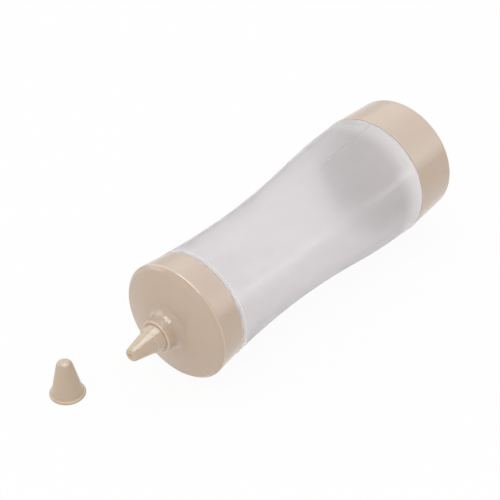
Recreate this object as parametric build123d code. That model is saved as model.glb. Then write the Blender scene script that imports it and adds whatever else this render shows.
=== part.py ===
from build123d import *
import os
from math import cos, degrees

# A squeeze bottle for sauces, lying on its side, with the cover of its nozzle standing beside it.
# The bottle is a waisted tube, open at both ends. A wide screw cap closes the end that it is
# filled through and stands on, and a smaller screw cap at the other end carries the nozzle.
# Sizes are in millimetres. The pieces are turned standing up, with heights measured from the
# base cap's end, and are laid down at the end so that both caps touch the floor.

# Bottle
body_length = 159.5
flank_height = 49.0
flank_draw = 3.6
flank_lean = 0.13
body_wall = 1.3
base_shoulder_inset = 0.2
nozzle_shoulder_swell = 0.25
shoulder_round = 1.6
shoulder_slope = 6.0
neck_wall = 1.9
mouth_bevel = 0.5

# Room between a neck and its cap, which the screw threads fill, and the rim of each skirt
thread_room = 1.6
skirt_gap = 0.2
rim_bevel = 0.4

# Seals
seal_thickness = 1.6
seal_play = 0.3
seal_lip = 0.4

# Base cap
base_cap_height = 32.5
base_rim_radius = 40.0
base_draw = 1.9
base_skirt = 4.6
base_skirt_wall = 2.3
base_relief_depth = 7.0
base_edge_round = 2.4
base_floor = 2.4
foot_width = 6.5
foot_depth = 2.5
foot_bevel = 1.0

# Nozzle cap
nozzle_cap_height = 18.5
nozzle_rim_radius = 34.05
nozzle_flare = 2.15
nozzle_skirt = 2.45
nozzle_skirt_wall = 2.0
nozzle_relief_depth = 4.0
rim_band_drop = 1.6
rim_band_width = 2.3
rim_band_rise = 0.63
rim_outer_round = 1.8
rim_inner_round = 1.2
crown_rise = 5.3
crown_swell = 0.5
crown_wall = 2.4
seal_land_width = 0.8
boss_flare = 0.5
boss_round = 4.8
collar_height = 14.45
lip_thickness = 1.0
lip_round = 0.25
recess_width = 0.8
recess_depth = 3.6

# Nozzle
nozzle_fit = 0.05
shank_radius = 8.0
shank_rise = 0.5
step_rise = 5.4
step_inset = 0.8
step_width = 0.35
nozzle_reach = 20.05
tip_radius = 3.75
tip_round = 2.1
nozzle_wall = 1.3
orifice_radius = 1.2
orifice_length = 3.0
flange_width = 3.0
flange_thickness = 1.8
flange_room = 0.8
snap_height = 0.25

# Nozzle cover, which slips over the nozzle and rests on its collar
cover_gap = 0.25
cover_wall = 1.0
cover_head_room = 2.45
cover_top_play = 0.35
cover_top_round = 3.8
bead_reach = 2.0
bead_height = 2.0
cover_ahead = 16.7
cover_aside = 35.0

# How far each cap is screwed round, in degrees, which sets where the seam of its surface lies
seam_turn = {"base_cap": 1.385, "nozzle_cap": 0.75}

# Rounds of leaning the bottle over until both caps touch the floor
settling_steps = 4

# Radii that follow, from the axis
base_end_radius = base_rim_radius - base_draw
base_bore = base_rim_radius - base_skirt
base_neck_radius = base_bore - thread_room
base_shoulder_radius = base_rim_radius - base_shoulder_inset
flank_radius = base_shoulder_radius - flank_draw
nozzle_front_radius = nozzle_rim_radius + nozzle_flare
nozzle_bore = nozzle_rim_radius - nozzle_skirt
nozzle_neck_radius = nozzle_bore - thread_room
nozzle_shoulder_radius = nozzle_rim_radius + nozzle_shoulder_swell
collar_radius = shank_radius + recess_width + lip_thickness
boss_radius = collar_radius + boss_flare
flange_radius = shank_radius + flange_width
step_radius = shank_radius - step_inset
cover_mouth_radius = shank_radius + cover_gap
bead_radius = cover_mouth_radius + bead_reach
cover_top_radius = tip_radius + cover_top_play

# Heights that follow, from the base cap's end
base_seal_bottom = foot_depth + base_floor
base_mouth = base_seal_bottom + seal_thickness
base_seam = base_cap_height
nozzle_seam = base_seam + body_length
face = nozzle_seam + nozzle_cap_height
collar_top = face + collar_height
nozzle_step = collar_top + step_rise
nozzle_tip_end = collar_top + nozzle_reach
cover_length = nozzle_reach + cover_head_room + cover_wall

# The nozzle cap's roof follows its domed front, one wall below it
crown_slope = crown_rise / (nozzle_front_radius - boss_radius)
nozzle_seal_top = face + crown_slope * (nozzle_front_radius - nozzle_bore) - crown_wall
nozzle_mouth = nozzle_seal_top - seal_thickness
flange_top = face + crown_rise - crown_wall


def joined(*points):
    """Straight lines from point to point."""
    return [Line(start, end) for start, end in zip(points, points[1:])]


def turned(outline, rounds=(), bevels=()):
    """Spin an outline of (radius, height) about the axis, with the corners listed rounded or cut."""
    section = make_face(outline)
    for finish, corners in ((fillet, rounds), (chamfer, bevels)):
        for radius, height, size in corners:
            corner = section.vertices().sort_by_distance((radius, height, 0))[0]
            section = finish(corner, size)
    return revolve(Plane.XZ * section, Axis.Z)


def bottle_body():
    """Tube that bulges at the base and draws in to a waist, with a shoulder and neck at each end."""
    base_shoulder = base_seam + skirt_gap
    nozzle_shoulder = nozzle_seam - skirt_gap
    base_inner = base_neck_radius - neck_wall
    nozzle_inner = nozzle_neck_radius - neck_wall
    base_bend = (base_shoulder_radius - body_wall, base_shoulder + shoulder_slope)
    nozzle_bend = (nozzle_shoulder_radius - body_wall, nozzle_shoulder - shoulder_slope)
    flank = (flank_radius, base_seam + flank_height)
    inner_flank = (flank_radius - body_wall, base_seam + flank_height)
    to_base = (flank_lean, -1)
    to_nozzle = (-flank_lean, 1)
    outer_base = (base_shoulder_radius, base_shoulder)
    outer_top = (nozzle_shoulder_radius, nozzle_shoulder)
    outline = [
        TangentArc(flank, outer_base, tangent=to_base),
        TangentArc(flank, outer_top, tangent=to_nozzle),
        *joined(
            outer_top,
            (nozzle_neck_radius, nozzle_shoulder),
            (nozzle_neck_radius, nozzle_mouth),
            (nozzle_inner, nozzle_mouth),
            (nozzle_inner, nozzle_shoulder),
            nozzle_bend,
        ),
        TangentArc(inner_flank, nozzle_bend, tangent=to_nozzle),
        TangentArc(inner_flank, base_bend, tangent=to_base),
        *joined(
            base_bend,
            (base_inner, base_shoulder),
            (base_inner, base_mouth),
            (base_neck_radius, base_mouth),
            (base_neck_radius, base_shoulder),
            outer_base,
        ),
    ]
    rounds = [
        (*outer_base, shoulder_round),
        (*outer_top, shoulder_round),
    ]
    bevels = [
        (base_neck_radius, base_mouth, mouth_bevel),
        (nozzle_neck_radius, nozzle_mouth, mouth_bevel),
    ]
    return turned(outline, rounds, bevels)


def base_cap():
    """Wide screw cap: a tapered skirt round a flat end, set in to leave a ring to stand on."""
    foot_inner = base_end_radius - foot_width
    relief = base_rim_radius - base_skirt_wall
    relief_foot = base_seam - base_relief_depth
    outline = joined(
        (0, foot_depth),
        (foot_inner, foot_depth),
        (foot_inner, 0),
        (base_end_radius, 0),
        (base_rim_radius, base_seam),
        (relief, base_seam),
        (relief, relief_foot),
        (base_bore, relief_foot - (relief - base_bore)),
        (base_bore, base_seal_bottom),
        (0, base_seal_bottom),
        (0, foot_depth),
    )
    bevels = [
        (foot_inner, 0, foot_bevel),
        (base_rim_radius, base_seam, rim_bevel),
    ]
    return turned(outline, [(base_end_radius, 0, base_edge_round)], bevels)


def nozzle_cap():
    """Screw cap with a banded rim and a domed front that sweeps up into a collar round the nozzle."""
    band_foot = (nozzle_front_radius - nozzle_flare * rim_band_drop / nozzle_cap_height, face - rim_band_drop)
    band_top = (nozzle_front_radius - rim_band_width, face + rim_band_rise)
    relief = nozzle_rim_radius - nozzle_skirt_wall
    relief_foot = nozzle_seam + nozzle_relief_depth
    crown_middle = ((nozzle_front_radius + boss_radius) / 2, face + crown_rise / 2 + crown_swell)
    lip = collar_radius - lip_thickness
    bore = shank_radius + nozzle_fit
    recess_floor = collar_top - recess_depth
    pocket = flange_radius + flange_room
    land = nozzle_neck_radius - neck_wall - seal_lip - seal_land_width
    land_top = nozzle_seal_top + crown_slope * (nozzle_bore - land)
    outline = [
        *joined((nozzle_rim_radius, nozzle_seam), band_foot, band_top),
        ThreePointArc(band_top, crown_middle, (boss_radius, face + crown_rise)),
        *joined(
            (boss_radius, face + crown_rise),
            (collar_radius, collar_top),
            (lip, collar_top),
            (lip, recess_floor),
            (bore, recess_floor),
            (bore, flange_top),
            (pocket, flange_top),
            (land, land_top),
            (land, nozzle_seal_top),
            (nozzle_bore, nozzle_seal_top),
            (nozzle_bore, relief_foot + (relief - nozzle_bore)),
            (relief, relief_foot),
            (relief, nozzle_seam),
            (nozzle_rim_radius, nozzle_seam),
        ),
    ]
    rounds = [
        (*band_foot, rim_outer_round),
        (*band_top, rim_inner_round),
        (boss_radius, face + crown_rise, boss_round),
        (collar_radius, collar_top, lip_round),
    ]
    return turned(outline, rounds, [(nozzle_rim_radius, nozzle_seam, rim_bevel)])


def nozzle_tip():
    """Hollow cone pushed through the cap from inside: a flange stops it and a bead snaps it in."""
    snap_foot = collar_top - recess_depth
    throat = nozzle_tip_end - orifice_length
    cone_foot = step_radius - step_width
    cone_slope = (cone_foot - tip_radius) / (nozzle_tip_end - nozzle_step)
    throat_radius = cone_foot - cone_slope * (throat - nozzle_step) - nozzle_wall
    inner_shank = shank_radius - nozzle_wall
    outline = joined(
        (inner_shank, flange_top - flange_thickness),
        (flange_radius, flange_top - flange_thickness),
        (flange_radius, flange_top),
        (shank_radius, flange_top),
        (shank_radius, snap_foot),
        (shank_radius + snap_height, snap_foot + snap_height),
        (shank_radius, snap_foot + 3 * snap_height),
        (shank_radius, collar_top + shank_rise),
        (step_radius, nozzle_step),
        (cone_foot, nozzle_step),
        (tip_radius, nozzle_tip_end),
        (orifice_radius, nozzle_tip_end),
        (orifice_radius, throat),
        (throat_radius, throat),
        (cone_foot - nozzle_wall, nozzle_step),
        (inner_shank, collar_top),
        (inner_shank, flange_top - flange_thickness),
    )
    rounds = [
        (step_radius, nozzle_step, lip_round),
        (tip_radius, nozzle_tip_end, tip_round),
    ]
    return turned(outline, rounds)


def seal_ring(neck, bore, bottom):
    """Flat silicone ring that a screw cap presses on the mouth of its neck."""
    inner = neck - neck_wall - seal_lip
    outer = bore - seal_play
    top = bottom + seal_thickness
    corners = [(inner, bottom), (outer, bottom), (outer, top), (inner, top)]
    return turned(joined(*corners, corners[0]))


def nozzle_cover():
    """Thin hollow cone with a beaded rim, drawn mouth down with its rim at height 0."""
    step_inner = step_radius + cover_gap
    root = cover_mouth_radius - (cover_mouth_radius - step_inner) * bead_height / step_rise + cover_wall
    inner_top = (cover_top_radius - cover_wall / 2, cover_length - cover_wall)
    bead_foot = (bead_radius - bead_height / 2, 0)
    bead_top = (bead_radius - bead_height / 2, bead_height)
    outline = [
        *joined((cover_mouth_radius, 0), bead_foot),
        ThreePointArc(bead_foot, (bead_radius, bead_height / 2), bead_top),
        *joined(
            bead_top,
            (root, bead_height),
            (cover_top_radius, cover_length),
            (0, cover_length),
            (0, inner_top[1]),
            inner_top,
            (step_inner, step_rise),
            (cover_mouth_radius, 0),
        ),
    ]
    rounds = [(cover_top_radius, cover_length, cover_top_round)]
    return turned(outline, rounds, [(*inner_top, cover_top_round - cover_wall)])


standing = {
    "bottle_body": bottle_body(),
    "base_cap": base_cap(),
    "base_gasket": seal_ring(base_neck_radius, base_bore, base_seal_bottom),
    "nozzle_cap": nozzle_cap(),
    "nozzle_tip": nozzle_tip(),
    "nozzle_gasket": seal_ring(nozzle_neck_radius, nozzle_bore, nozzle_mouth),
}


def laid(name, tilt):
    """A piece laid down with the nozzle towards -X and dipping by the tilt."""
    screwed = Rotation(0, 0, seam_turn.get(name, 0))
    return Rotation(0, -90 - degrees(tilt), 0) * screwed * standing[name]


def lowest(name, tilt):
    """Height of the lowest point of a piece once it is laid down."""
    return laid(name, tilt).bounding_box().min.Z


# The base cap is the wider one, so the bottle dips until the nozzle cap touches the floor too
tilt = 0.0
for _ in range(settling_steps):
    tilt += (lowest("nozzle_cap", tilt) - lowest("base_cap", tilt)) / (face - base_seam)
floor = lowest("base_cap", tilt)
pieces = {name: laid(name, tilt) for name in standing}

# The cover stands on the floor, ahead of the nozzle and to one side
ahead = -(nozzle_tip_end + cover_ahead) * cos(tilt)
pieces["nozzle_cover"] = Pos(ahead, cover_aside, floor) * nozzle_cover()

# The origin is on the floor, below the middle of the whole
whole = Compound(children=[piece.moved(Location()) for piece in pieces.values()]).bounding_box()
origin = Pos(-whole.center().X, -whole.center().Y, -floor)

os.makedirs("parts", exist_ok=True)
for name, piece in pieces.items():
    export_step(origin * piece, f"parts/{name}.step")
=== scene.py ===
from math import atan2, cos, exp, pi, radians, sin, sqrt

import bmesh
import bpy
from mathutils import Matrix, Vector, noise


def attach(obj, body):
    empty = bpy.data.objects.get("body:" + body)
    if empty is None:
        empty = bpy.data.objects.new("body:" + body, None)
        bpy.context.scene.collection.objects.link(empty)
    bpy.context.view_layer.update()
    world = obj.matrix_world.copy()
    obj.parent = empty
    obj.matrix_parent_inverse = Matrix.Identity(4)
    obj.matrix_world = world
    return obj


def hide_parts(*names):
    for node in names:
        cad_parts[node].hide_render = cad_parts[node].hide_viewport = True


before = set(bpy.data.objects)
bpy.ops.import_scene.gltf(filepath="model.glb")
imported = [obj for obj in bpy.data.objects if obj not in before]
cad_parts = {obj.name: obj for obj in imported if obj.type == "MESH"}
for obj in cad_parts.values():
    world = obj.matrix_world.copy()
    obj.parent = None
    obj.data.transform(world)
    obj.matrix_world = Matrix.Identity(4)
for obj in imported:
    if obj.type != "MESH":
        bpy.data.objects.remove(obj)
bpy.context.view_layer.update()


# Bottle body. A waisted tube of natural polypropylene, blow moulded in two halves, so a fine
# parting line runs down its top and its underside. Each end draws in at a shoulder to an open
# neck with a coarse screw thread. It lies on its caps, with the nozzle to the left.

LEAN = radians(1.3160312)
BASE_END = Vector((0.135529, -0.002637, 0.040703))
MILLIMETRE = 0.001


def lying_bottle():
    """Where the bottle lies: its own Z runs from base to nozzle, its own X points up."""
    along = Vector((-cos(LEAN), 0, -sin(LEAN)))
    up = Vector((-sin(LEAN), 0, cos(LEAN)))
    turn = Matrix((up, Vector((0, 1, 0)), along)).transposed().to_4x4()
    return Matrix.Translation(BASE_END) @ turn @ Matrix.Scale(MILLIMETRE, 4)


LAID = lying_bottle()

BASE_SEAM, NOZZLE_SEAM, SEAM_GAP = 32.5, 192.0, 0.04
FLANK = Vector((36.2, 81.5))
FLANK_LEAN = 0.13
BODY_WALL = 1.3
BASE_SHOULDER = Vector((39.8, BASE_SEAM + SEAM_GAP))
NOZZLE_SHOULDER = Vector((34.3, NOZZLE_SEAM - SEAM_GAP))
BASE_NECK, NOZZLE_NECK, NECK_WALL = 33.8, 30.0, 1.9
BASE_MOUTH, NOZZLE_MOUTH = 6.5, 207.447
SHOULDER_SLOPE, MOUTH_BEVEL = 6.0, 0.5

base_bend = (BASE_SHOULDER.x - BODY_WALL, BASE_SHOULDER.y + SHOULDER_SLOPE)
nozzle_bend = (NOZZLE_SHOULDER.x - BODY_WALL, NOZZLE_SHOULDER.y - SHOULDER_SLOPE)
inner_flank = (FLANK.x - BODY_WALL, FLANK.y)
to_base, to_nozzle = (FLANK_LEAN, -1), (-FLANK_LEAN, 1)


def arc_middle(start, heading, end):
    """The middle of the arc that leaves start along heading and reaches end, and how far left it is."""
    left = Vector((-heading[1], heading[0])).normalized()
    chord = end - start
    reach = chord.length_squared / (2 * chord.dot(left))
    return start + left * reach, reach


def bow(start, heading, end, steps):
    """The inner points of the arc that leaves start along heading and reaches end."""
    start, end = Vector(start), Vector(end)
    middle, _ = arc_middle(start, heading, end)
    first, last = start - middle, end - middle
    sweep = first.angle_signed(last)
    points = []
    for step in range(1, steps):
        share = sweep * step / steps
        points.append(middle + Matrix.Rotation(-share, 2) @ first)
    return points


def nearest(path, corner):
    """The place in a path of its point nearest to a corner."""
    spot = Vector(corner)
    return min(range(len(path)), key=lambda i: (path[i] - spot).length)


def eased(path, corner, radius, steps=7):
    """A closed path with its corner nearest to the given point rounded to a radius."""
    path = [Vector(p) for p in path]
    count = len(path)
    at = nearest(path, corner)
    tip = path[at]
    before = (path[at - 1] - tip).normalized()
    after = (path[(at + 1) % count] - tip).normalized()
    half = before.angle(after) / 2
    trim = radius * cos(half) / sin(half)

    def walk(way):
        """Where the rounding meets one side, the heading there, and the next point beyond."""
        gone, here, i = 0.0, tip, at
        while True:
            i += way
            there = path[i % count]
            length = (there - here).length
            if gone + length > trim:
                meets = here + (there - here) * ((trim - gone) / length)
                return meets, (here - there).normalized(), i % count
            gone, here = gone + length, there

    first, first_way, stop = walk(-1)
    last, last_way, k = walk(1)
    sweep = pi - 2 * half
    hold = 4 / 3 * (1 - cos(sweep / 2)) / sin(sweep / 2) * radius
    a, b = first + first_way * hold, last + last_way * hold
    curve = []
    for step in range(steps + 1):
        t = step / steps
        s = 1 - t
        curve.append(s**3 * first + 3 * s * s * t * a + 3 * s * t * t * b + t**3 * last)
    kept = [path[k]]
    while k != stop:
        k = (k + 1) % count
        kept.append(path[k])
    return curve + kept


def cut(path, corner, size):
    """A closed path with its corner nearest to the given point bevelled."""
    path = [Vector(p) for p in path]
    at = nearest(path, corner)
    tip = path[at]
    before, after = path[at - 1], path[(at + 1) % len(path)]
    ends = [tip + (p - tip).normalized() * size for p in (before, after)]
    return path[:at] + ends + path[at + 1:]


body_path = [
    BASE_SHOULDER,
    *reversed(bow(FLANK, to_base, BASE_SHOULDER, steps=26)),
    FLANK,
    *bow(FLANK, to_nozzle, NOZZLE_SHOULDER, steps=48),
    NOZZLE_SHOULDER,
    (NOZZLE_NECK, NOZZLE_SHOULDER.y),
    (NOZZLE_NECK, NOZZLE_MOUTH),
    (NOZZLE_NECK - NECK_WALL, NOZZLE_MOUTH),
    (NOZZLE_NECK - NECK_WALL, NOZZLE_SHOULDER.y),
    nozzle_bend,
    *reversed(bow(inner_flank, to_nozzle, nozzle_bend, steps=46)),
    inner_flank,
    *bow(inner_flank, to_base, base_bend, steps=24),
    base_bend,
    (BASE_NECK - NECK_WALL, BASE_SHOULDER.y),
    (BASE_NECK - NECK_WALL, BASE_MOUTH),
    (BASE_NECK, BASE_MOUTH),
    (BASE_NECK, BASE_SHOULDER.y),
]
body_path = eased(body_path, BASE_SHOULDER, radius=0.25, steps=4)
body_path = eased(body_path, NOZZLE_SHOULDER, radius=1.6)
body_path = cut(body_path, (BASE_NECK, BASE_MOUTH), MOUTH_BEVEL)
body_path = cut(body_path, (NOZZLE_NECK, NOZZLE_MOUTH), MOUTH_BEVEL)

OUTER_WALL_FROM = 33
# A thin ring round the nozzle shoulder, painted lighter as a highlight line.
SHOULDER_HIGHLIGHT, SHOULDER_HIGHLIGHT_WIDTH = NOZZLE_SEAM - 2.6, 0.05


def split_at(path, height):
    """The path with a point added where its outer wall crosses a height."""
    for i, (start, end) in enumerate(zip(path, path[1:])):
        if start.x > OUTER_WALL_FROM and (start.y - height) * (end.y - height) < 0:
            share = (height - start.y) / (end.y - start.y)
            return path[:i + 1] + [start.lerp(end, share)] + path[i + 1:]
    return path


body_path = split_at(body_path, SHOULDER_HIGHLIGHT)
body_path = split_at(body_path, SHOULDER_HIGHLIGHT + SHOULDER_HIGHLIGHT_WIDTH)

PARTING_ANGLE = radians(-2.8)
PARTING_HEIGHT, PARTING_HALF_WIDTH, PARTING_LEAST = 0.11, 0.22, 0.25
PARTING_FLATTENS, PARTING_FLATTENS_OVER = 84, 18
# Width share, end and taper of the painted highlight along the parting ridge.
HIGHLIGHT_SHARE, HIGHLIGHT_ENDS, HIGHLIGHT_TAPER = 0.62, 80, 14
MOULD_MARGIN, MARGIN_RAMP, POINT_FIT, FACE_FIT = 1.5, 2, 0.4, 0.5
WAVE_DEPTH, WAVE_ROUND, WAVE_LENGTH = 0.09, 1.6, 22


def outer_radius(height):
    """Radius of the body's outer wall at a height."""
    heading, end = (to_base, BASE_SHOULDER) if height < FLANK.y else (to_nozzle, NOZZLE_SHOULDER)
    middle, reach = arc_middle(FLANK, heading, end)
    across = sqrt(reach ** 2 - (height - middle.y) ** 2)
    return middle.x + across if middle.x < FLANK.x else middle.x - across


def between_shoulders(height):
    """Whether a height is on the blown wall, clear of both shoulders."""
    return BASE_SHOULDER.y + MOULD_MARGIN < height < NOZZLE_SHOULDER.y - MOULD_MARGIN


def off_parting(angle):
    """How far an angle is from the nearer of the two parting lines."""
    return min(abs((angle - PARTING_ANGLE - k * pi + pi) % (2 * pi) - pi) for k in (0, 1))


def mould_line_highlight(spot):
    """Whether a body face gets a painted highlight line, on the parting ridge or round the nozzle
    shoulder.
    """
    if not between_shoulders(spot.z):
        return False
    radius = Vector((spot.x, spot.y)).length
    if abs(radius - outer_radius(spot.z)) > FACE_FIT:
        return False
    if SHOULDER_HIGHLIGHT < spot.z < SHOULDER_HIGHLIGHT + SHOULDER_HIGHLIGHT_WIDTH:
        return True
    left = max(0.0, min(1.0, (HIGHLIGHT_ENDS - spot.z) / HIGHLIGHT_TAPER))
    return off_parting(atan2(spot.y, spot.x)) * radius < PARTING_HALF_WIDTH * HIGHLIGHT_SHARE * left


def blown_wall(radius, angle, height):
    """The parting line's fine ridge outside, and the uneven wall that blowing leaves inside."""
    if not between_shoulders(height):
        return 0.0
    if abs(radius - outer_radius(height)) < POINT_FIT:
        across = off_parting(angle) * radius / PARTING_HALF_WIDTH
        from_base = (height - BASE_SHOULDER.y - MOULD_MARGIN) / MARGIN_RAMP
        from_nozzle = (NOZZLE_SHOULDER.y - MOULD_MARGIN - height) / MARGIN_RAMP
        ends = min(1.0, from_base, from_nozzle)
        full = max(0.0, min(1.0, (PARTING_FLATTENS - height) / PARTING_FLATTENS_OVER))
        fade = PARTING_LEAST + (1 - PARTING_LEAST) * full
        return PARTING_HEIGHT * fade * ends * (1 - across * across) if across < 1 else 0.0
    spot = Vector((cos(angle) * WAVE_ROUND, sin(angle) * WAVE_ROUND, height / WAVE_LENGTH))
    return WAVE_DEPTH * noise.noise(spot)


MEAN_RADIUS = 36
line_angles = []
for k in (0, 1):
    for step in (-1.5, -1, -0.6, -0.3, 0, 0.3, 0.6, 1, 1.5):
        line_angle = PARTING_ANGLE + k * pi + step * PARTING_HALF_WIDTH / MEAN_RADIUS
        line_angles.append(round(line_angle % (2 * pi), 6))

SHORTEST_SPLIT, CORNER_HOLD, ON_AXIS = 0.2, 0.25, 1e-6


def stepped(path, longest):
    """A closed path with its long runs split, and closer points beside each of its corners."""
    points = []
    for start, end in zip(path, path[1:] + path[:1]):
        start, end = Vector(start), Vector(end)
        length = (end - start).length
        points.append(start)
        if length < SHORTEST_SPLIT or max(start.x, end.x) < ON_AXIS:
            continue
        near = min(CORNER_HOLD, length / 4)
        inner = length - 2 * near
        count = max(1, round(inner / longest))
        for i in range(count + 1):
            points.append(start + (end - start) * ((near + inner * i / count) / length))
    return points


def in_scene(name, made):
    """A new object in the scene, from its mesh, its lamp or its lens."""
    thing = bpy.data.objects.new(name, made)
    bpy.context.scene.collection.objects.link(thing)
    return thing


def new_piece(name, shell, place, crease):
    """A piece from a finished mesh, set in its place, smooth apart from its creases."""
    bmesh.ops.recalc_face_normals(shell, faces=shell.faces)
    mesh = bpy.data.meshes.new(name)
    shell.to_mesh(mesh)
    shell.free()
    mesh.transform(place)
    mesh.shade_smooth()
    mesh.set_sharp_from_angle(angle=crease)
    return in_scene(name, mesh)


def turned(name, path, place, sides, extra_angles=(), drift=None, longest=3.0, marked=None):
    """A round piece: a closed path of (radius, height) in millimetres, spun about its axis."""
    angles = sorted({round(2 * pi * i / sides, 6) for i in range(sides)} | set(extra_angles))
    shell = bmesh.new()
    rings = []
    for radius, height in stepped(path, longest):
        if radius < ON_AXIS:
            rings.append([shell.verts.new((0, 0, height))])
            continue
        ring = []
        for angle in angles:
            r = radius + (drift(radius, angle, height) if drift else 0)
            ring.append(shell.verts.new((r * cos(angle), r * sin(angle), height)))
        rings.append(ring)
    for low, high in zip(rings, rings[1:] + rings[:1]):
        for i in range(len(angles)):
            j = (i + 1) % len(angles)
            corners = [low[i % len(low)], low[j % len(low)], high[j % len(high)], high[i % len(high)]]
            corners = list(dict.fromkeys(corners))
            if len(corners) > 2:
                face = shell.faces.new(corners)
                if marked:
                    face.material_index = marked(face.calc_center_median())
    return new_piece(name, shell, place, crease=radians(28))


def plastic(name, colour, roughness, **settings):
    """A new material with its one shader, ready for its own nodes."""
    material = bpy.data.materials.new(name)
    material.use_nodes = True
    shader = material.node_tree.nodes["Principled BSDF"]
    shader.inputs["Base Color"].default_value = (*colour, 1)
    shader.inputs["Roughness"].default_value = roughness
    for socket, value in settings.items():
        shader.inputs[socket.replace("_", " ")].default_value = value
    return material, shader


def grained(material, shader, scale, depth):
    """A fine moulded grain on a material's surface, and the coordinates that it follows."""
    nodes, links = material.node_tree.nodes, material.node_tree.links
    place = nodes.new("ShaderNodeTexCoord")
    grain = nodes.new("ShaderNodeTexNoise")
    grain.inputs["Scale"].default_value = scale
    grain.inputs["Detail"].default_value = 3.0
    bump = nodes.new("ShaderNodeBump")
    bump.inputs["Strength"].default_value = 1.0
    bump.inputs["Distance"].default_value = depth
    links.new(place.outputs["Object"], grain.inputs["Vector"])
    links.new(grain.outputs["Fac"], bump.inputs["Height"])
    links.new(bump.outputs["Normal"], shader.inputs["Normal"])
    return place


clearer, thicker = 0.7, 0.45
THICK_UNTIL, CLEAR_FROM = 0.033, 0.052
milky = {
    "IOR": 1.25, "Subsurface_Weight": 1.0, "Subsurface_Radius": (1.0, 1.0, 1.0),
    "Subsurface_Scale": 0.004,
}
frosted, frosted_shader = plastic(
    "frosted_polypropylene", (0.870, 0.840, 0.848), roughness=0.25,
    Transmission_Weight=clearer, Specular_IOR_Level=0.3, **milky,
)
frosted_place = grained(frosted, frosted_shader, scale=900, depth=0.00002)
along_bottle = frosted.node_tree.nodes.new("ShaderNodeSeparateXYZ")
clear = frosted.node_tree.nodes.new("ShaderNodeMapRange")
clear.interpolation_type = "SMOOTHSTEP"
clear.inputs["From Min"].default_value = BASE_END.x - THICK_UNTIL
clear.inputs["From Max"].default_value = BASE_END.x - CLEAR_FROM
clear.inputs["To Min"].default_value = thicker
clear.inputs["To Max"].default_value = clearer
frosted.node_tree.links.new(frosted_place.outputs["Object"], along_bottle.inputs["Vector"])
frosted.node_tree.links.new(along_bottle.outputs["X"], clear.inputs["Value"])
frosted.node_tree.links.new(clear.outputs["Result"], frosted_shader.inputs["Transmission Weight"])

# A lighter plastic that paints the highlight lines on the body's parting ridge and shoulder ring.
painted_line_highlight, _ = plastic(
    "painted_line_highlight_polypropylene", (0.80, 0.78, 0.786), roughness=0.35,
    Transmission_Weight=0.65, Specular_IOR_Level=0.2, **milky,
)


def finish_piece(piece, material, body, slot, *nodes):
    """Give a piece its plastic and the body it moves with."""
    piece.data.materials.append(material)
    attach(piece, body)
    if nodes:
        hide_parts(*nodes)


bottle_body = turned(
    "bottle_body_blown", body_path, LAID, sides=216, extra_angles=line_angles, drift=blown_wall,
    marked=mould_line_highlight,
)
finish_piece(bottle_body, frosted, "bottle", "bottle_plastic", "bottle_body")
bottle_body.data.materials.append(painted_line_highlight)

THREAD_PITCH = 6.0
RIDGE_HALF_FOOT, RIDGE_HALF_ROOT, RIDGE_LOW, RIDGE_HIGH = 1.15, 1.05, -0.5, 0.45
RIDGE_SINK, RIDGE_LEAST, RIDGE_TAPER, RIDGE_SIDES = 0.25, 0.04, radians(24), 144


def screw_ridge(name, root, crest, low, high, start=0.0):
    """A helical thread ridge, tapered away at both ends, from a root radius to a crest radius."""
    turns = (high - low) / THREAD_PITCH
    count = round(turns * RIDGE_SIDES)
    sunk = root - (RIDGE_SINK if crest > root else -RIDGE_SINK)
    shell = bmesh.new()
    rows = []
    for i in range(count + 1):
        share = i / count
        angle = start + 2 * pi * turns * share
        height = low + (high - low) * share
        fade = min(1.0, min(share, 1 - share) * turns * 2 * pi / RIDGE_TAPER)
        fade = max(RIDGE_LEAST, fade * fade * (3 - 2 * fade))
        top = root + (crest - root) * fade
        profile = (
            (sunk, -RIDGE_HALF_FOOT), (root, -RIDGE_HALF_ROOT), (top, RIDGE_LOW),
            (top, RIDGE_HIGH), (root, RIDGE_HALF_ROOT), (sunk, RIDGE_HALF_FOOT),
        )
        rows.append([shell.verts.new((r * cos(angle), r * sin(angle), height + h)) for r, h in profile])
    for a, b in zip(rows, rows[1:]):
        for k in range(len(a)):
            m = (k + 1) % len(a)
            shell.faces.new((a[k], a[m], b[m], b[k]))
    shell.faces.new(rows[0])
    shell.faces.new(rows[-1])
    return new_piece(name, shell, LAID, crease=radians(50))


BASE_THREAD_CREST, BASE_THREAD_LOW, BASE_THREAD_HIGH = 35.0, 10.0, 26.0
NOZZLE_THREAD_CREST, NOZZLE_THREAD_LOW, NOZZLE_THREAD_HIGH = 31.2, 194.6, 204.6
base_neck_thread = screw_ridge(
    "base_neck_thread", BASE_NECK, BASE_THREAD_CREST, BASE_THREAD_LOW, BASE_THREAD_HIGH,
)
finish_piece(base_neck_thread, frosted, "bottle", "bottle_plastic")
nozzle_neck_thread = screw_ridge(
    "nozzle_neck_thread", NOZZLE_NECK, NOZZLE_THREAD_CREST, NOZZLE_THREAD_LOW, NOZZLE_THREAD_HIGH,
)
finish_piece(nozzle_neck_thread, frosted, "bottle", "bottle_plastic")


# Base cap. A deep screw cap of beige polypropylene, injection moulded, that closes the wide
# filling mouth. Its skirt tapers a little towards a raised foot ring, which the bottle stands
# on, and a ridge inside takes the neck's thread.

BASE_RIM, BASE_END_RADIUS, BASE_BORE = 40.0, 38.1, 35.4
BASE_RELIEF_WALL, BASE_RELIEF_LENGTH = 2.3, 7.0
FOOT_WIDTH, FOOT_DEPTH, BASE_SEAL_BOTTOM = 6.5, 2.5, 4.9
BASE_RIDGE_CREST, BASE_RIDGE_LOW, BASE_RIDGE_HIGH = 34.2, 9.0, 21.6
base_relief, base_relief_foot = BASE_RIM - BASE_RELIEF_WALL, BASE_SEAM - BASE_RELIEF_LENGTH
foot_inner = BASE_END_RADIUS - FOOT_WIDTH

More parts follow.
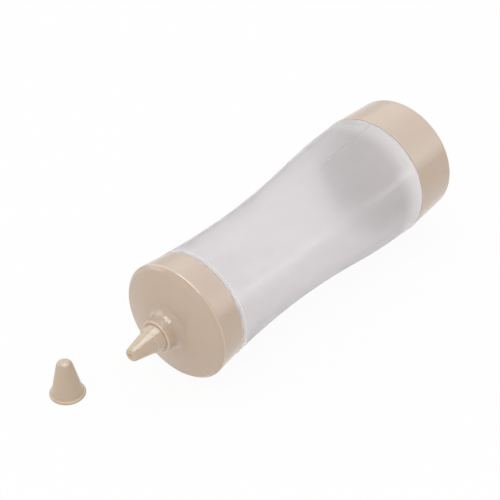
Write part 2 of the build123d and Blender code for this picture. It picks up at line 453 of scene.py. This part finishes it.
base_path = [
    (0, FOOT_DEPTH), (foot_inner, FOOT_DEPTH), (foot_inner, 0), (BASE_END_RADIUS, 0),
    (BASE_RIM, BASE_SEAM), (base_relief, BASE_SEAM), (base_relief, base_relief_foot),
    (BASE_BORE, base_relief_foot - (base_relief - BASE_BORE)), (BASE_BORE, BASE_SEAL_BOTTOM),
    (0, BASE_SEAL_BOTTOM),
]
base_path = eased(base_path, (BASE_END_RADIUS, 0), radius=2.4, steps=10)
base_path = eased(base_path, (foot_inner, 0), radius=0.9, steps=5)
base_path = eased(base_path, (foot_inner, FOOT_DEPTH), radius=0.5, steps=4)
base_path = eased(base_path, (BASE_RIM, BASE_SEAM), radius=0.12, steps=4)

solid = {
    "IOR": 1.49, "Subsurface_Weight": 0.3, "Subsurface_Radius": (1.0, 0.75, 0.5),
    "Subsurface_Scale": 0.003,
}
beige, beige_shader = plastic("beige_polypropylene", (0.54, 0.425, 0.33), roughness=0.12, **solid)
beige_place = grained(beige, beige_shader, scale=700, depth=0.000005)


def tinted(material, shader, place, low, high, scale):
    """Slow drifts between two tones of the same plastic."""
    nodes, links = material.node_tree.nodes, material.node_tree.links
    cloud = nodes.new("ShaderNodeTexNoise")
    cloud.inputs["Scale"].default_value = scale
    cloud.inputs["Detail"].default_value = 2.0
    tones = nodes.new("ShaderNodeValToRGB")
    for stop, position, tone in zip(tones.color_ramp.elements, (0.35, 0.65), (low, high)):
        stop.position = position
        stop.color = (*tone, 1)
    links.new(place.outputs["Object"], cloud.inputs["Vector"])
    links.new(cloud.outputs["Fac"], tones.inputs["Fac"])
    links.new(tones.outputs["Color"], shader.inputs["Base Color"])


tinted(beige, beige_shader, beige_place, low=(0.53, 0.415, 0.32), high=(0.55, 0.435, 0.34), scale=14)
# A lighter beige on thin edges of the caps and nozzle: painted highlight and glow, not the plastic's own
# colour.
painted_edge_light, _ = plastic("painted_edge_light_polypropylene", (0.65, 0.52, 0.41), roughness=0.15, **solid)
RIM_EDGE_HEIGHT, RIM_EDGE_WIDTH = 0.5, 0.6


def base_rim_edge(spot):
    """Whether a face is on the thin edge of the base cap's skirt, which gets a painted highlight and
    glow.
    """
    radius_squared = spot.x ** 2 + spot.y ** 2
    return spot.z > BASE_SEAM - RIM_EDGE_HEIGHT and radius_squared > (BASE_RIM - RIM_EDGE_WIDTH) ** 2


def opposite(cap_low, neck_low):
    """The angle at which a cap's ridge starts, so that it runs half a turn from the neck's."""
    return pi + 2 * pi * (cap_low - neck_low) / THREAD_PITCH


base_cap = turned("base_cap_moulded", base_path, LAID, sides=216, marked=base_rim_edge)
finish_piece(base_cap, beige, "base_end", "cap_plastic", "base_cap")
base_cap.data.materials.append(painted_edge_light)
base_cap_thread = screw_ridge(
    "base_cap_thread", BASE_BORE, BASE_RIDGE_CREST, BASE_RIDGE_LOW, BASE_RIDGE_HIGH,
    opposite(BASE_RIDGE_LOW, BASE_THREAD_LOW),
)
finish_piece(base_cap_thread, beige, "base_end", "cap_plastic")


# Seals. Two flat rings of clear silicone, cut from sheet and laid loose in the caps, that the
# caps press on the mouths of the necks.

SEAL_THICKNESS, SEAL_PLAY, SEAL_LIP, SEAL_BREAK = 1.6, 0.3, 0.4, 0.12
NOZZLE_BORE = 31.6
silicone, silicone_shader = plastic("clear_silicone", (0.80, 0.79, 0.76), roughness=0.42, IOR=1.41)
grained(silicone, silicone_shader, scale=500, depth=0.00002)


def seal(name, neck, bore, bottom, body, node):
    """A flat ring between two radii with its edges just broken."""
    inner, outer = neck - NECK_WALL - SEAL_LIP, bore - SEAL_PLAY
    top = bottom + SEAL_THICKNESS
    path = [(inner, bottom), (outer, bottom), (outer, top), (inner, top)]
    for corner in list(path):
        path = cut(path, corner, SEAL_BREAK)
    ring = turned(name, path, LAID, sides=144)
    finish_piece(ring, silicone, body, "seal_silicone", node)


seal("base_gasket_ring", BASE_NECK, BASE_BORE, BASE_SEAL_BOTTOM, "base_end_lift", "base_gasket")
seal("nozzle_gasket_ring", NOZZLE_NECK, NOZZLE_BORE, NOZZLE_MOUTH, "nozzle_end_lift", "nozzle_gasket")


# Nozzle cap. A shallower screw cap in the same beige, moulded with a skirt that flares towards
# a low domed front. The dome sweeps up into a short collar, and the nozzle stands in the
# collar with a shallow groove round it.

FACE, NOZZLE_RIM, NOZZLE_FRONT = 210.5, 34.05, 36.2
CROWN_RISE, CROWN_WALL, CROWN_BULGE = 5.3, 2.4, 0.5
BOSS_RADIUS, COLLAR_RADIUS, COLLAR_TOP, COLLAR_WALL = 10.3, 9.8, 224.95, 1.0
SHANK, SHANK_PLAY, GROOVE_DEPTH, POCKET_ROOM, LAND_WIDTH = 8.0, 0.05, 0.15, 3.8, 0.8
NOZZLE_RELIEF_WALL, NOZZLE_RELIEF_LENGTH = 2.0, 4.0
BAND_DROP, BAND_WIDTH, BAND_RISE = 1.6, 2.3, 0.63
NOZZLE_RIDGE_CREST, NOZZLE_RIDGE_LOW, NOZZLE_RIDGE_HIGH = 30.4, 197.9, 204.9

crown_slope = CROWN_RISE / (NOZZLE_FRONT - BOSS_RADIUS)
skirt_flare = (NOZZLE_FRONT - NOZZLE_RIM) / (FACE - NOZZLE_SEAM)
nozzle_seal_top = FACE + crown_slope * (NOZZLE_FRONT - NOZZLE_BORE) - CROWN_WALL
flange_top = FACE + CROWN_RISE - CROWN_WALL
nozzle_relief, nozzle_relief_foot = NOZZLE_RIM - NOZZLE_RELIEF_WALL, NOZZLE_SEAM + NOZZLE_RELIEF_LENGTH
lip, groove_floor = COLLAR_RADIUS - COLLAR_WALL, COLLAR_TOP - GROOVE_DEPTH
shank_bore, pocket = SHANK + SHANK_PLAY, SHANK + POCKET_ROOM
land = NOZZLE_NECK - NECK_WALL - SEAL_LIP - LAND_WIDTH
band_foot = (NOZZLE_FRONT - skirt_flare * BAND_DROP, FACE - BAND_DROP)
band_top = (NOZZLE_FRONT - BAND_WIDTH, FACE + BAND_RISE)
crown_foot = (BOSS_RADIUS, FACE + CROWN_RISE)
crown_middle = ((NOZZLE_FRONT + BOSS_RADIUS) / 2, FACE + CROWN_RISE / 2 + CROWN_BULGE)


def arc_through(start, between, end, steps):
    """The inner points of the arc from start to end that passes through a point between."""
    start, between, end = Vector(start), Vector(between), Vector(end)
    first, chord = between - start, end - start
    turn = 2 * (first.x * chord.y - first.y * chord.x)
    middle = start + Vector((
        (chord.y * first.length_squared - first.y * chord.length_squared) / turn,
        (first.x * chord.length_squared - chord.x * first.length_squared) / turn,
    ))
    outward = start - middle
    heading = Vector((-outward.y, outward.x))
    if heading.dot(chord) < 0:
        heading = -heading
    return bow(start, heading, end, steps)


nozzle_cap_path = [
    (NOZZLE_RIM, NOZZLE_SEAM), band_foot, band_top,
    *arc_through(band_top, crown_middle, crown_foot, steps=16),
    crown_foot, (COLLAR_RADIUS, COLLAR_TOP), (lip, COLLAR_TOP), (lip, groove_floor),
    (shank_bore, groove_floor), (shank_bore, flange_top), (pocket, flange_top),
    (land, nozzle_seal_top + crown_slope * (NOZZLE_BORE - land)), (land, nozzle_seal_top),
    (NOZZLE_BORE, nozzle_seal_top),
    (NOZZLE_BORE, nozzle_relief_foot + (nozzle_relief - NOZZLE_BORE)),
    (nozzle_relief, nozzle_relief_foot), (nozzle_relief, NOZZLE_SEAM),
]
nozzle_cap_path = eased(nozzle_cap_path, band_foot, radius=1.8, steps=8)
nozzle_cap_path = eased(nozzle_cap_path, band_top, radius=1.2, steps=6)
nozzle_cap_path = eased(nozzle_cap_path, crown_foot, radius=4.8, steps=14)
nozzle_cap_path = eased(nozzle_cap_path, (COLLAR_RADIUS, COLLAR_TOP), radius=0.3, steps=4)
nozzle_cap_path = eased(nozzle_cap_path, (lip, COLLAR_TOP), radius=0.2, steps=3)
nozzle_cap_path = eased(nozzle_cap_path, (NOZZLE_RIM, NOZZLE_SEAM), radius=0.45, steps=5)

SKIRT_EDGE, COLLAR_EDGE = 0.5, 0.35
BAND_EDGE_BELOW, BAND_EDGE_ABOVE, BAND_EDGE_WIDTH = 0.35, 0.2, 0.9


def nozzle_cap_edge(spot):
    """Whether a face on the nozzle cap's skirt, band or collar edge gets the painted highlight and glow.
    """
    radius = Vector((spot.x, spot.y)).length
    skirt = spot.z < NOZZLE_SEAM + SKIRT_EDGE and radius > NOZZLE_RIM - SKIRT_EDGE
    on_band = band_foot[1] - BAND_EDGE_BELOW < spot.z < band_foot[1] + BAND_EDGE_ABOVE
    band = on_band and radius > band_foot[0] - BAND_EDGE_WIDTH
    collar = spot.z > COLLAR_TOP - COLLAR_EDGE
    return skirt or band or collar


nozzle_cap = turned("nozzle_cap_moulded", nozzle_cap_path, LAID, sides=216, marked=nozzle_cap_edge)
finish_piece(nozzle_cap, beige, "nozzle_end", "cap_plastic", "nozzle_cap")
nozzle_cap.data.materials.append(painted_edge_light)
nozzle_cap_thread = screw_ridge(
    "nozzle_cap_thread", NOZZLE_BORE, NOZZLE_RIDGE_CREST, NOZZLE_RIDGE_LOW, NOZZLE_RIDGE_HIGH,
    opposite(NOZZLE_RIDGE_LOW, NOZZLE_THREAD_LOW),
)
finish_piece(nozzle_cap_thread, beige, "nozzle_end", "cap_plastic")


# Nozzle. A hollow cone of softer, waxier polyethylene, pushed through the cap from inside until
# its flange stops it and its low bead snaps into the collar. A small step above the collar
# carries the cover, and the rounded tip has a fine hole.

STEP_RADIUS, NOZZLE_STEP, STEP_WIDTH, TIP_END = 7.2, 230.35, 0.35, 245.0
TIP_RADIUS, NOZZLE_WALL, ORIFICE, ORIFICE_LENGTH = 3.75, 1.3, 1.2, 3.0
FLANGE_WIDTH, FLANGE_THICKNESS, SHANK_ABOVE_COLLAR = 3.0, 1.8, 0.5
SNAP_DEPTH, SNAP_RISE, SNAP_LENGTH = 3.6, 0.25, 0.75
flange_radius, flange_bottom = SHANK + FLANGE_WIDTH, flange_top - FLANGE_THICKNESS
cone_foot, throat = STEP_RADIUS - STEP_WIDTH, TIP_END - ORIFICE_LENGTH
snap_foot = COLLAR_TOP - SNAP_DEPTH
cone_slope = (cone_foot - TIP_RADIUS) / (TIP_END - NOZZLE_STEP)
throat_radius = cone_foot - cone_slope * (throat - NOZZLE_STEP) - NOZZLE_WALL

nozzle_path = [
    (SHANK - NOZZLE_WALL, flange_bottom), (flange_radius, flange_bottom), (flange_radius, flange_top),
    (SHANK, flange_top), (SHANK, snap_foot), (SHANK + SNAP_RISE, snap_foot + SNAP_RISE),
    (SHANK, snap_foot + SNAP_LENGTH), (SHANK, COLLAR_TOP + SHANK_ABOVE_COLLAR),
    (STEP_RADIUS, NOZZLE_STEP), (cone_foot, NOZZLE_STEP), (TIP_RADIUS, TIP_END),
    (ORIFICE, TIP_END), (ORIFICE, throat), (throat_radius, throat),
    (cone_foot - NOZZLE_WALL, NOZZLE_STEP), (SHANK - NOZZLE_WALL, COLLAR_TOP),
]
nozzle_path = eased(nozzle_path, (STEP_RADIUS, NOZZLE_STEP), radius=0.28, steps=5)
nozzle_path = eased(nozzle_path, (TIP_RADIUS, TIP_END), radius=2.1, steps=10)
nozzle_path = eased(nozzle_path, (ORIFICE, TIP_END), radius=0.35, steps=4)

waxy, waxy_shader = plastic(
    "waxy_polyethylene", (0.55, 0.435, 0.325), roughness=0.07, IOR=1.5,
    Subsurface_Weight=0.3, Subsurface_Radius=(1.0, 0.75, 0.5), Subsurface_Scale=0.002,
)
grained(waxy, waxy_shader, scale=500, depth=0.000003)
# An amber plastic for the lining of the hole: a painted glow of light through the thin wall.
painted_hole_glow, _ = plastic(
    "painted_hole_glow_polyethylene", (0.92, 0.72, 0.42), roughness=0.3, IOR=1.5,
    Subsurface_Weight=1.0, Subsurface_Radius=(1.0, 0.8, 0.5), Subsurface_Scale=0.002,
)
HOLE_REACH, STEP_EDGE, HAIR = 0.5, 0.3, 0.05


def nozzle_edge(spot):
    """1 for a step face, painted as a highlight, 2 for one lining the hole, painted as glow through the
    wall.
    """
    radius = Vector((spot.x, spot.y)).length
    hole = spot.z > throat - HOLE_REACH and radius < ORIFICE + HAIR
    step = NOZZLE_STEP - STEP_EDGE < spot.z < NOZZLE_STEP + HAIR and radius > cone_foot - HAIR
    return 2 if hole else 1 if step else 0


nozzle_tip = turned("nozzle_tip_moulded", nozzle_path, LAID, sides=144, longest=1.5, marked=nozzle_edge)
finish_piece(nozzle_tip, waxy, "nozzle_end", "nozzle_plastic", "nozzle_tip")
nozzle_tip.data.materials.append(painted_edge_light)
nozzle_tip.data.materials.append(painted_hole_glow)


# Nozzle cover. A thin hollow cone with a beaded rim that slips over the nozzle. It has been
# taken off and stands on its rim on the floor, in front of the nozzle and to one side.

COVER_SPOT = Vector((-0.126102, 0.032363, 0.0))
COVER_MOUTH, COVER_TOP, COVER_LENGTH, COVER_WALL = 8.25, 4.1, 23.5, 1.0
COVER_STEP, COVER_STEP_PLAY = 5.4, 0.25
BEAD_RADIUS, BEAD_HEIGHT, BEAD_PROUD = 10.25, 2.0, 1.0
step_inner = STEP_RADIUS + COVER_STEP_PLAY
cover_root = COVER_MOUTH - (COVER_MOUTH - step_inner) * BEAD_HEIGHT / COVER_STEP + COVER_WALL
bead_foot, bead_top = (BEAD_RADIUS - BEAD_PROUD, 0), (BEAD_RADIUS - BEAD_PROUD, BEAD_HEIGHT)
bead_crest = (BEAD_RADIUS, BEAD_HEIGHT / 2)
cover_roof = (COVER_TOP - COVER_WALL / 2, COVER_LENGTH - COVER_WALL)

cover_path = [
    (COVER_MOUTH, 0), bead_foot, *arc_through(bead_foot, bead_crest, bead_top, steps=10), bead_top,
    (cover_root, BEAD_HEIGHT), (COVER_TOP, COVER_LENGTH), (0, COVER_LENGTH), (0, cover_roof[1]),
    cover_roof, (step_inner, COVER_STEP),
]
cover_path = eased(cover_path, (COVER_TOP, COVER_LENGTH), radius=3.8, steps=12)
cover_path = eased(cover_path, cover_roof, radius=2.6, steps=6)
cover_path = eased(cover_path, (cover_root, BEAD_HEIGHT), radius=0.3, steps=4)

cover_plastic, cover_shader = plastic("beige_polyethylene", (0.52, 0.40, 0.295), roughness=0.33, IOR=1.5)
grained(cover_plastic, cover_shader, scale=500, depth=0.00002)

standing_cover = Matrix.Translation(COVER_SPOT) @ Matrix.Scale(MILLIMETRE, 4)
nozzle_cover = turned("nozzle_cover_moulded", cover_path, standing_cover, sides=144, longest=1.5)
finish_piece(nozzle_cover, cover_plastic, "cover", "cover_plastic", "nozzle_cover")


# Floor and light. A plain white floor in a white room, a broad lamp overhead, two soft fills, a
# low card and a light tent that shows only in reflections. Two more lamps reach only the body:
# one draws the streak along its side, the other lifts its shaded side.

FLOOR_HALF, PAPER_WHITE, PAPER_GLOW, ROOM_LEVEL = 6, 0.90, 0.94, 0.93


def bare_tree(holder):
    """The node tree of a material or the world, emptied."""
    holder.use_nodes = True
    holder.node_tree.nodes.clear()
    return holder.node_tree


def sees_white(tree):
    """A socket that is 1 for the rays that see plain white: the camera's, mirrored and see-through."""
    seen = tree.nodes.new("ShaderNodeLightPath")
    either = tree.nodes.new("ShaderNodeMath")
    any_way = tree.nodes.new("ShaderNodeMath")
    either.operation = any_way.operation = "MAXIMUM"
    tree.links.new(seen.outputs["Is Camera Ray"], either.inputs[0])
    tree.links.new(seen.outputs["Is Glossy Ray"], either.inputs[1])
    tree.links.new(either.outputs[0], any_way.inputs[0])
    tree.links.new(seen.outputs["Is Transmission Ray"], any_way.inputs[1])
    return any_way.outputs[0]


floor_mesh = bpy.data.meshes.new("white_floor")
floor_corners = [(x * FLOOR_HALF, y * FLOOR_HALF, 0) for x, y in ((-1, -1), (1, -1), (1, 1), (-1, 1))]
floor_mesh.from_pydata(floor_corners, [], [(0, 1, 2, 3)])
floor = in_scene("white_floor", floor_mesh)

paper = bpy.data.materials.new("white_paper")
tree = bare_tree(paper)
share = tree.nodes.new("ShaderNodeMath")
share.operation = "MULTIPLY"
share.inputs[1].default_value = PAPER_GLOW
lit = tree.nodes.new("ShaderNodeBsdfDiffuse")
lit.inputs["Color"].default_value = (PAPER_WHITE, PAPER_WHITE, PAPER_WHITE, 1)
glow = tree.nodes.new("ShaderNodeEmission")
mixed = tree.nodes.new("ShaderNodeMixShader")
out = tree.nodes.new("ShaderNodeOutputMaterial")
tree.links.new(sees_white(tree), share.inputs[0])
tree.links.new(share.outputs[0], mixed.inputs[0])
tree.links.new(lit.outputs[0], mixed.inputs[1])
tree.links.new(glow.outputs[0], mixed.inputs[2])
tree.links.new(mixed.outputs[0], out.inputs["Surface"])
floor_mesh.materials.append(paper)

room = bpy.data.worlds.new("studio")
bpy.context.scene.world = room
tree = bare_tree(room)
level = tree.nodes.new("ShaderNodeMapRange")
level.inputs["To Min"].default_value = ROOM_LEVEL
level.inputs["To Max"].default_value = 1.0
surround = tree.nodes.new("ShaderNodeBackground")
surround.inputs["Color"].default_value = (1, 1, 1, 1)
out = tree.nodes.new("ShaderNodeOutputWorld")
tree.links.new(sees_white(tree), level.inputs["Value"])
tree.links.new(level.outputs["Result"], surround.inputs["Strength"])
tree.links.new(surround.outputs[0], out.inputs["Surface"])


def softbox(name, place, aim, size, glare, lights=False, mirrored=True, only=None):
    """A rectangular lamp of a given brightness at a place, turned to face a point."""
    width, height = size
    lamp = bpy.data.lights.new(name, "AREA")
    lamp.shape, lamp.size, lamp.size_y = "RECTANGLE", width, height
    lamp.energy = glare * pi * width * height
    holder = in_scene(name, lamp)
    holder.location = place
    holder.rotation_euler = (Vector(aim) - Vector(place)).to_track_quat("-Z", "Y").to_euler()
    holder.visible_diffuse = lights
    holder.visible_glossy = mirrored
    holder.visible_transmission = False
    if only:
        reached = bpy.data.collections.new(name + "_reaches")
        reached.objects.link(only)
        holder.light_linking.receiver_collection = reached


softbox("overhead_softbox", (-0.13, -0.02, 1.0), aim=(-0.13, -0.02, 0), size=(0.9, 0.9), glare=6.0)
softbox(
    "overhead_fill", (-0.1, 0.05, 1.01), aim=(0, 0, 0.03), size=(0.7, 0.5), glare=0.6,
    lights=True, mirrored=False,
)
softbox(
    "bottle_streak", (0.72, -0.92, 0.28), aim=(0, 0, 0.06), size=(0.34, 0.13), glare=13.0,
    only=bottle_body,
)
softbox(
    "bottle_fill", (0.9, -0.8, 0.4), aim=(0, 0, 0.03), size=(0.8, 0.6), glare=6.5,
    lights=True, mirrored=False, only=bottle_body,
)
softbox(
    "left_fill", (-1.3, 0.3, 0.55), aim=(0, 0, 0.04), size=(1.0, 0.8), glare=0.6,
    lights=True, mirrored=False,
)

TENT_RADIUS, TENT_LOW, TENT_HIGH = 1.5, 5, 62
TENT_RIGHT, TENT_LEFT, TENT_STEP = -52, 130, 3
TENT_GLARE, LAMP_GLARE, WALL_SHADE, LEAST_GLARE = 2.8, 1.0, 0.60, 1.05
LAMP_AZIMUTH, LAMP_ELEVATION, LAMP_SPREAD = -44, 20, 14
SHADE_AZIMUTH, SHADE_SPREAD, SHADE_FOOT, SHADE_RISE = 42, 28, 8, 28
RIGHT_LEVEL, RIGHT_RAMP, LOW_LEVEL, LOW_RAMP = 0.4, 11, 0.5, 14


def hump(value, middle, spread):
    """A smooth bump of height 1."""
    return exp(-(((value - middle) / spread) ** 2))


def tent_glare(azimuth, elevation):
    """How bright the tent is in a direction: a lamp behind its right end, a dim foot at its back."""
    lamp = hump(azimuth, LAMP_AZIMUTH, LAMP_SPREAD) * hump(elevation, LAMP_ELEVATION, LAMP_SPREAD)
    risen = min(1.0, max(0.0, (elevation - SHADE_FOOT) / SHADE_RISE))
    shade = WALL_SHADE * hump(azimuth, SHADE_AZIMUTH, SHADE_SPREAD) * (1 - risen)
    from_right = RIGHT_LEVEL + (1 - RIGHT_LEVEL) * (azimuth - TENT_RIGHT) / RIGHT_RAMP
    from_low = LOW_LEVEL + (1 - LOW_LEVEL) * (elevation - TENT_LOW) / LOW_RAMP
    edge = min(1.0, from_right, from_low)
    return max(LEAST_GLARE, (TENT_GLARE + LAMP_GLARE * lamp) * (1 - shade) * edge)


tent_mesh = bmesh.new()
glare_layer = tent_mesh.verts.layers.float.new("glare")
rows = []
for azimuth in range(TENT_RIGHT, TENT_LEFT + 1, TENT_STEP):
    row = []
    for elevation in range(TENT_LOW, TENT_HIGH + 1, TENT_STEP):
        flat = TENT_RADIUS * cos(radians(elevation))
        rise = TENT_RADIUS * sin(radians(elevation))
        corner = tent_mesh.verts.new((flat * cos(radians(azimuth)), flat * sin(radians(azimuth)), rise))
        corner[glare_layer] = tent_glare(azimuth, elevation)
        row.append(corner)
    rows.append(row)
for left, right in zip(rows, rows[1:]):
    for k in range(len(left) - 1):
        tent_mesh.faces.new((left[k], right[k], right[k + 1], left[k + 1]))
tent_shape = bpy.data.meshes.new("light_tent")
tent_mesh.to_mesh(tent_shape)
tent_mesh.free()
tent = in_scene("light_tent", tent_shape)
tent.visible_camera = tent.visible_diffuse = tent.visible_transmission = tent.visible_shadow = False

lit_cloth = bpy.data.materials.new("lit_cloth")
tree = bare_tree(lit_cloth)
level = tree.nodes.new("ShaderNodeAttribute")
level.attribute_name = "glare"
glow = tree.nodes.new("ShaderNodeEmission")
out = tree.nodes.new("ShaderNodeOutputMaterial")
tree.links.new(level.outputs["Fac"], glow.inputs["Strength"])
tree.links.new(glow.outputs[0], out.inputs["Surface"])
tent_shape.materials.append(lit_cloth)
softbox("low_left_card", (-1.0, 0.28, 0.06), aim=(0, 0, 0.04), size=(0.3, 0.1), glare=2.5)


# Camera. A long lens at the photograph's viewing angle, from the front left and looking down on
# the bottle.

CAMERA_SPOT = Vector((-0.51228, -0.44468, 0.54185))
CAMERA_RIGHT = Vector((0.65096, -0.75889, -0.01817))
CAMERA_UP = Vector((0.45991, 0.37524, 0.80478))
SENSOR_WIDTH, LENS_LENGTH, CLIP_NEAR, CLIP_FAR = 36.0, 105.21, 0.01, 50

lens = bpy.data.cameras.new("photo_camera")
lens.sensor_width, lens.lens = SENSOR_WIDTH, LENS_LENGTH
lens.clip_start, lens.clip_end = CLIP_NEAR, CLIP_FAR
camera = in_scene("photo_camera", lens)
looking = Matrix((CAMERA_RIGHT, CAMERA_UP, CAMERA_RIGHT.cross(CAMERA_UP))).transposed().to_4x4()
camera.matrix_world = Matrix.Translation(CAMERA_SPOT) @ looking
bpy.context.scene.camera = camera
bpy.context.scene.view_settings.view_transform = "Standard"
